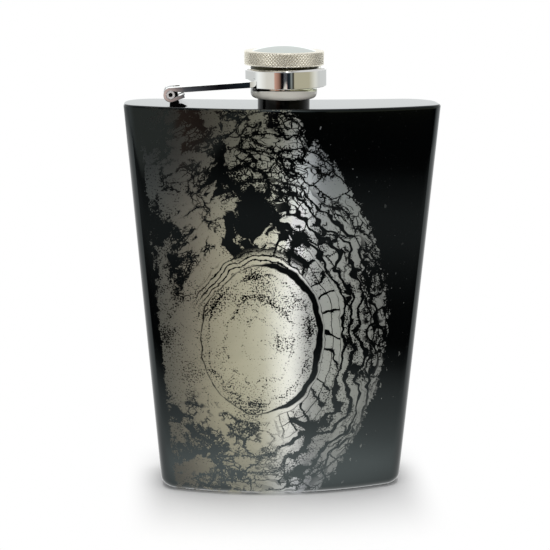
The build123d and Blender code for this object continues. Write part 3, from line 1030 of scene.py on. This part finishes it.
def etched_share(graph, where):
    """1 where the coating is cut away to bare steel, 0 where it stays."""
    at = Motif(graph, where)
    banded = at.band_side * graph.step(at.upward, 0.62, 0.4) * graph.step(at.spread, 1.95, 1.85)
    block_zone, block_phase, blocks = motif_blocks(graph, at)
    ground, plates, cracks = motif_cracks(graph, at, banded)
    vein_share = motif_veins(graph, at)
    veins = graph.step(vein_share, 0.585, 0.6) * graph.step(at.spread, 1.1, 1.25)

    # Pitted shading: grit that thickens towards cracks, the left edge and the core's rim
    growth = graph.step(graph.wave((at.spread + at.wobble * 0.3) * GROWTH_RATE), 0.13, 0.03)
    shades = [
        graph.step(plates, 0.22, 0.0) * ground * 0.16,
        banded * graph.step(at.spread, 1.42, 1.5) * graph.step(at.band_wave, 0.3, 0.1) * 0.14,
        block_zone * graph.step(block_phase, 0.2, 0.0) * 0.12,
        graph.step(at.patch, 0.44, 0.66) * 0.13,
        graph.step(at.x - at.left_limit, 9.0, 0.0) * 0.07,
        graph.step(vein_share, 0.50, 0.59) * 0.10 * graph.step(at.spread, 1.05, 1.2),
        graph.between(at.spread, 0.6, 1.0, 0.98, 1.02) * 0.05,
        growth * graph.step(at.spread, 0.97, 0.9) * (0.04 + at.gap * 0.1),
    ]
    grit = sum(shades, graph.noise(at.plane, 1.9, 2.5, 0.7))
    covered = graph.step(grit, 0.645, 0.69)
    for part in (motif_rim(graph, at), blocks, motif_bands(graph, at), cracks, veins):
        covered = graph.larger(covered, part)

    # A few flecks thrown off past the ragged right edge
    near_edge = graph.between(at.x - at.right_limit, -1.0, 0.5, 0.0, 11.0)
    speckle = graph.noise(graph.vector(at.x * 1.6, at.z, 0.0), 0.42, 2.0)
    flecks = graph.step(speckle, 0.70, 0.715) * near_edge * at.on_front
    return graph.larger(motif_reach(graph, at) * (1.0 - covered), flecks)


# Reflectance of the bare metal with its painted highlight and painted shade, from the left end to the right,
# and its share from foot to top. The bands that the light leaves on brushed metal are drawn here.
GLINT_LEAN = 0.09
GLINT_ACROSS = [
    (0.08, (0.16, 0.17, 0.16)), (0.20, (0.34, 0.32, 0.26)), (0.30, (0.58, 0.55, 0.41)),
    (0.43, (0.58, 0.56, 0.43)), (0.49, (0.98, 0.98, 0.90)), (0.535, (1.0, 1.0, 0.97)),
    (0.575, (0.36, 0.37, 0.37)), (0.66, (0.56, 0.58, 0.54)), (0.80, (0.34, 0.35, 0.35)),
]
GLINT_UP = [
    (0.0, (0.26, 0.27, 0.29)), (0.12, (0.35, 0.35, 0.35)), (0.30, (0.70, 0.70, 0.67)),
    (0.50, (0.83, 0.83, 0.81)), (0.62, (0.93, 0.93, 0.93)), (0.72, (0.97, 0.99, 1.0)),
    (0.81, (0.72, 0.76, 0.81)), (0.90, (0.37, 0.39, 0.42)), (1.0, (0.35, 0.36, 0.36)),
]
GLINT_STRENGTH = 1.2
COAT_BLACK = (0.0006, 0.0008, 0.0009)
LINT_GREY = (0.02, 0.02, 0.02)


def coated_material():
    """Black gloss coating on steel, laser cut on the front down to the satin metal."""
    material, graph, where = new_material("coated_steel")
    share = etched_share(graph, where)
    orange_peel = graph.noise(where, 420.0, 2.0, 0.4)
    smear = graph.noise(where, 38.0, 3.0, 0.6)
    lint = graph.step(graph.noise(where, 1600.0, 2.0, 0.6), 0.70, 0.75)
    coat = principled(
        graph,
        Base_Color=graph.mix(lint, COAT_BLACK, LINT_GREY),
        Roughness=0.045 + smear * 0.05,
        IOR=1.42,
        Specular_Tint=(0.84, 1.0, 1.0),
        Normal=bumped(graph, orange_peel, 0.06, mm(0.05)),
    )
    x, y, z = graph.split(where)
    stretched = graph.vector(x * 60.0, y * 60.0, z * 4200.0)
    grain = graph.noise(stretched, 1.0, 3.0, 0.6)
    mottle = graph.noise(where, 95.0, 4.0, 0.65)
    # Painted shade: the satin metal is drawn darker towards the left, the top and the foot, round a painted
    # highlight.
    leaned = x * 1000 - graph.larger(z * 1000 - PLATE / 2, 0.0) * GLINT_LEAN
    across = leaned / TOP_WIDTH + 0.5
    painted_glint_across = graph.ramp(across, GLINT_ACROSS, "B_SPLINE")
    painted_glint_up = graph.ramp(z * 1000 / PLATE, GLINT_UP, "B_SPLINE")
    # Base colour of the bare metal, with the painted highlight and painted shade multiplied in
    painted_glint_colour = graph.node("VectorMath", operation="MULTIPLY")
    graph.plug(painted_glint_colour.inputs[0], painted_glint_across)
    graph.plug(painted_glint_colour.inputs[1], painted_glint_up)
    steel = principled(
        graph,
        Base_Color=graph.scaled(painted_glint_colour.outputs[0], (0.84 + mottle * 0.32) * GLINT_STRENGTH),
        Metallic=1.0,
        Roughness=0.46 + grain * 0.12,
        Anisotropic=0.9,
        Tangent=graph.vector(0.0, 0.0, 1.0),
        Normal=bumped(graph, grain, 0.25, mm(0.02)),
    )
    graph.end("OutputMaterial", graph.blend(share, coat, steel))
    return material


def smeared_material(name, tints, roughness, smear, grain, bump, **extra):
    """A finish whose tint and roughness drift between two values each, over a fine grain."""
    material, graph, where = new_material(name)
    drift = graph.noise(where, *smear)
    graph.end("OutputMaterial", principled(
        graph,
        Base_Color=graph.mix(drift, *tints),
        Roughness=roughness[0] + drift * (roughness[1] - roughness[0]),
        Normal=bumped(graph, graph.noise(where, *grain), *bump),
        **extra,
    ))
    return material


SMEAR_DIMMING = 0.94


def chrome_material(name, tint, roughness, waviness):
    """Bright plating with faint smears and a slight waviness."""
    material, graph, where = new_material(name)
    smear = graph.noise(where, 160.0, 3.0, 0.6)
    ripple = graph.noise(where, 700.0, 2.0, 0.5)
    deeper = tuple(c * SMEAR_DIMMING for c in tint)
    graph.end("OutputMaterial", principled(
        graph,
        Base_Color=graph.mix(smear, deeper, tint),
        Metallic=1.0,
        Roughness=roughness + graph.step(smear, 0.45, 0.75) * roughness,
        Normal=bumped(graph, ripple, waviness, mm(0.01)),
    ))
    return material


def grip_material():
    """Knurled nickel, bright on the diamonds and darker and rougher down in the grooves."""
    material, graph, where = new_material("grip_nickel")
    x, y, z = [value * 1000 for value in graph.split(where)]
    smear = graph.noise(where, 220.0, 3.0, 0.6)
    # Distance out from the bottom of the grooves
    out = graph.length(x, y) - (HEAD_RADIUS - KNURL_DEPTH)
    wall = graph.step(out, -0.2, -0.1) * graph.step(z - (PLATE + HEAD_TOP), -0.1, -0.2)
    groove = wall * graph.step(out + smear * 0.03, KNURL_DEPTH * 0.45, KNURL_DEPTH * 0.1)
    graph.end("OutputMaterial", principled(
        graph,
        Base_Color=graph.mix(groove, (1.0, 0.96, 0.83), (0.62, 0.56, 0.42)),
        Metallic=0.8,
        Roughness=0.30 + smear * 0.1 + groove * 0.2,
        Normal=bumped(graph, smear, 0.1, mm(0.01)),
    ))
    return material


def pin_material():
    """Dull rivet steel, with painted shade darkening the recess at each end and the rim of the flare."""
    material, graph, where = new_material("pin_steel")
    x, y, z = graph.split(where)
    smear = graph.noise(where, 900.0, 3.0, 0.6)
    radius = graph.length(x * 1000 - PIVOT_X, z * 1000 - (PLATE + PIVOT_HEIGHT)) + smear * 0.1
    recess = graph.step(radius, PIN_BORE_RADIUS + 0.08, PIN_BORE_RADIUS)
    rim = graph.step(radius, PIN_FLARE_RADIUS - 0.14, PIN_FLARE_RADIUS - 0.04)
    # Painted shade in the recess and round the flare's rim
    painted_shade = graph.larger(recess, rim * 0.7)
    graph.end("OutputMaterial", principled(
        graph,
        Base_Color=graph.mix(painted_shade, (0.96, 0.93, 0.92), (0.012, 0.010, 0.009)),
        Metallic=0.4,
        Roughness=0.3 + smear * 0.12 + recess * 0.3,
        Normal=bumped(graph, smear, 0.2, mm(0.01)),
    ))
    return material


# Painted reflections on the flange's upper wall from its left to its right, with painted shade where the
# ring hangs over it
FLANGE_PAINTED_REFLECTION = [
    (0.0, (0.60, 0.60, 0.58)), (0.03, (0.02, 0.02, 0.02)), (0.25, (0.02, 0.02, 0.02)),
    (0.29, (0.95, 0.78, 0.66)), (0.52, (0.92, 0.80, 0.66)), (0.58, (0.95, 0.95, 0.80)),
    (0.88, (0.80, 0.80, 0.60)), (1.0, (0.16, 0.17, 0.08)),
]
# Height where that wall begins, and how much lower it begins at the sides
FLANGE_SHADE = 5.0
FLANGE_SHADE_SAG = 0.85
# Dark painted shade for the stem's recess between the ring and the grip
STEM_PAINTED_SHADE = (0.045, 0.042, 0.024)


def sleeve_material():
    """Pale diffuse foot on the flange as a painted reflection, painted reflections and shade on the wall
    above it, dark painted shade on the stem above the ring.
    """
    material, graph, where = new_material("sleeve_chrome")
    x, y, z = graph.split(where)
    height = z * 1000 - PLATE
    across = x * 1000 / STEM_RADIUS
    rings = graph.noise(graph.vector(0.0, 0.0, z * 9000.0), 1.0, 2.0, 0.5)
    smear = graph.noise(where, 160.0, 3.0, 0.6)
    # Above the ring the stem is rougher and painted dark, a painted shade for its recess under the grip
    dull_with_painted_shade = graph.step(height, RING_TOP - 1.0, RING_TOP - 0.6)
    under = graph.step(height - (FLANGE_SHADE - across * across * FLANGE_SHADE_SAG), 0.15, -0.15)
    # The foot is pale and nearly not metallic, a painted reflection; the wall above takes painted
    # reflections and shade
    pale_painted_reflection = graph.mix(smear, (0.90, 0.87, 0.78), (0.98, 0.95, 0.87))
    flange_painted_reflection = graph.mix(under, graph.ramp(across * 0.5 + 0.5, FLANGE_PAINTED_REFLECTION), pale_painted_reflection)
    graph.end("OutputMaterial", principled(
        graph,
        Base_Color=graph.mix(dull_with_painted_shade, flange_painted_reflection, STEM_PAINTED_SHADE),
        Metallic=1.0 - under * 0.95,
        Roughness=0.05 + dull_with_painted_shade * 0.3 + smear * 0.03,
        Normal=bumped(graph, rings, 0.08, mm(0.01)),
    ))
    return material


def dress(node, material):
    """Gives a carried-over CAD node its finish."""
    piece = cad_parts[node]
    if not piece.material_slots:
        piece.data.materials.append(material)
    for entry in piece.material_slots:
        entry.link = "OBJECT"
        entry.material = material


# ---- assembly

coated = coated_material()
plain_coat = smeared_material(
    "plain_coat", ((0.0006, 0.0006, 0.0007), (0.0014, 0.0014, 0.0014)), (0.10, 0.18),
    (60.0, 3.0, 0.6), (420.0, 2.0, 0.4), (0.08, mm(0.05)), Specular_IOR_Level=0.2,
)
bright = chrome_material("polished_chrome", (0.93, 0.93, 0.91), 0.025, 0.05)
crown_chrome = chrome_material("crown_chrome", (0.86, 0.94, 0.90), 0.03, 0.05)
knurl = grip_material()
pin_steel = pin_material()
silicone = smeared_material(
    "silicone", ((0.62, 0.62, 0.58), (0.74, 0.74, 0.70)), (0.42, 0.52),
    (260.0, 3.0, 0.5), (260.0, 3.0, 0.5), (0.15, mm(0.05)),
)
sleeve_chrome = sleeve_material()

make_object("body_wall_skin", *wall_mesh(), "flask", "coated_steel", "body_wall", coated)
make_object("base_tray_skin", *tray_mesh(), "flask", "coated_steel", "base_tray", coated)
make_object("top_plate_skin", *plate_mesh(), "flask", "coated_steel", "top_plate", coated)
make_object("hinge_pin_rivet", *pin_mesh(), "flask", "pin_steel", "hinge_pin", pin_steel)
make_object("cap_arm_bar", *arm_mesh(), "arm", "polished_chrome", "cap_arm", bright)
make_object("cap_ring_collar", *ring_mesh(), "arm", "polished_chrome", "cap_ring", bright)
make_object("cap_head_grip", *raised(knurled_head_mesh()), "cap", "knurled_chrome", "cap_head", knurl, 22.0)
make_object("cap_crown_dome", *raised(crown_mesh()), "cap", "polished_chrome", "cap_crown", crown_chrome)
make_object("cap_sleeve_stem", *raised(sleeve_mesh()), "cap", "polished_chrome", "cap_sleeve", sleeve_chrome)
dress("neck", plain_coat)
dress("hinge_bracket", plain_coat)
dress("cap_gasket", silicone)

build_world()
build_light()
build_floor()

# ---- camera

CAMERA_PLACE = (-29.77, -404.6, 167.1)
CAMERA_TURN = 0.06798
CAMERA_DIP = 0.23987
CAMERA_ROLL = 0.00783
CAMERA_LENS = 87.71

lens = bpy.data.cameras.new("camera")
lens.lens = CAMERA_LENS
camera = placed("camera", lens)
stance = Matrix.Translation([mm(c) for c in CAMERA_PLACE])
for angle, axis in ((-CAMERA_TURN, "Z"), (-CAMERA_DIP, "X"), (-CAMERA_ROLL, "Y"), (math.pi / 2, "X")):
    stance = stance @ Matrix.Rotation(angle, 4, axis)
camera.matrix_world = stance
bpy.context.scene.camera = camera

scene = bpy.context.scene
scene.view_settings.view_transform = "Standard"
scene.view_settings.look = "None"
scene.cycles.use_denoising = True
scene.cycles.sample_clamp_indirect = 6.0
scene.cycles.max_bounces = 10
scene.cycles.glossy_bounces = 8
